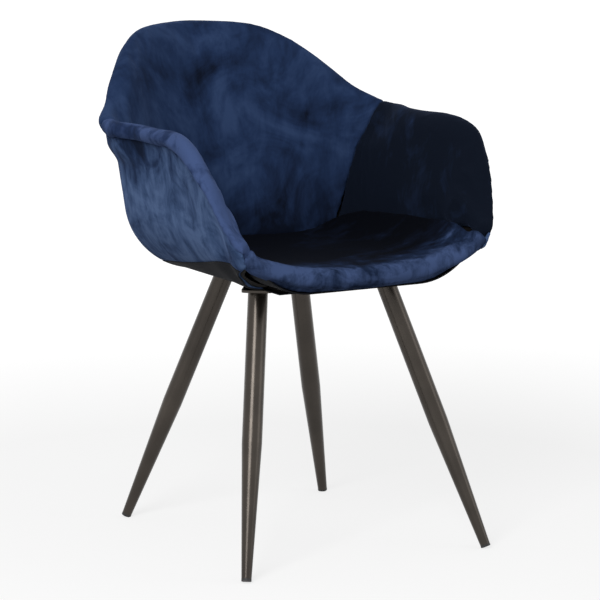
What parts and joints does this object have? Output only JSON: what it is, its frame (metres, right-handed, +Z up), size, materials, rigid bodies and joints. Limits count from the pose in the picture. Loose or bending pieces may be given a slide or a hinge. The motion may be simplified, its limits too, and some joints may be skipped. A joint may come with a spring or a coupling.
{
  "type": "upholstered armchair",
  "caption": "Upholstered tub armchair with a rolled edge running from the back into sloping arms, a padded seat and splayed tapered metal legs.",
  "frame": {"origin": "on the floor, under the middle of the chair's bounding box", "axes": "+Z up, -Y towards the front of the seat, +X to the right of someone facing the front as drawn; the chair mirrors across X = 0"},
  "size_m": [0.548, 0.6418, 0.8176],
  "materials": {
    "velvet": "navy cut velvet with a brushed nap",
    "lining": "plain woven cloth, near black",
    "foam": "cream polyurethane foam",
    "wadding": "white bonded polyester wadding",
    "plywood": "plain bent plywood, unvarnished",
    "leg_metal": "satin dark bronze powder coat",
    "plate_metal": "satin dark bronze powder coat",
    "glide_plastic": "black polyethylene",
    "zinc_steel": "bright zinc plate"
  },
  "bodies": {
    "root": {"seat_cover": "velvet", "back_cover": "velvet", "left_arm_cover": "velvet", "right_arm_cover": "velvet", "outer_back_cover": "velvet", "left_outer_cover": "velvet", "right_outer_cover": "velvet", "bottom_cover": "lining", "seat_foam": "foam", "back_foam": "foam", "left_arm_foam": "foam", "right_arm_foam": "foam", "back_wadding": "wadding", "left_arm_wadding": "wadding", "right_arm_wadding": "wadding", "tub_shell": "plywood", "seat_pan": "plywood", "leg_board": "plywood", "left_front_leg": "leg_metal", "left_rear_leg": "leg_metal", "right_front_leg": "leg_metal", "right_rear_leg": "leg_metal", "left_front_leg_plate": "plate_metal", "left_rear_leg_plate": "plate_metal", "right_front_leg_plate": "plate_metal", "right_rear_leg_plate": "plate_metal", "left_front_leg_glide": "glide_plastic", "left_rear_leg_glide": "glide_plastic", "right_front_leg_glide": "glide_plastic", "right_rear_leg_glide": "glide_plastic", "leg_bolts": "zinc_steel", "leg_washers": "zinc_steel", "tee_nuts": "zinc_steel", "shell_screws": "zinc_steel"}
  },
  "joints": []
}
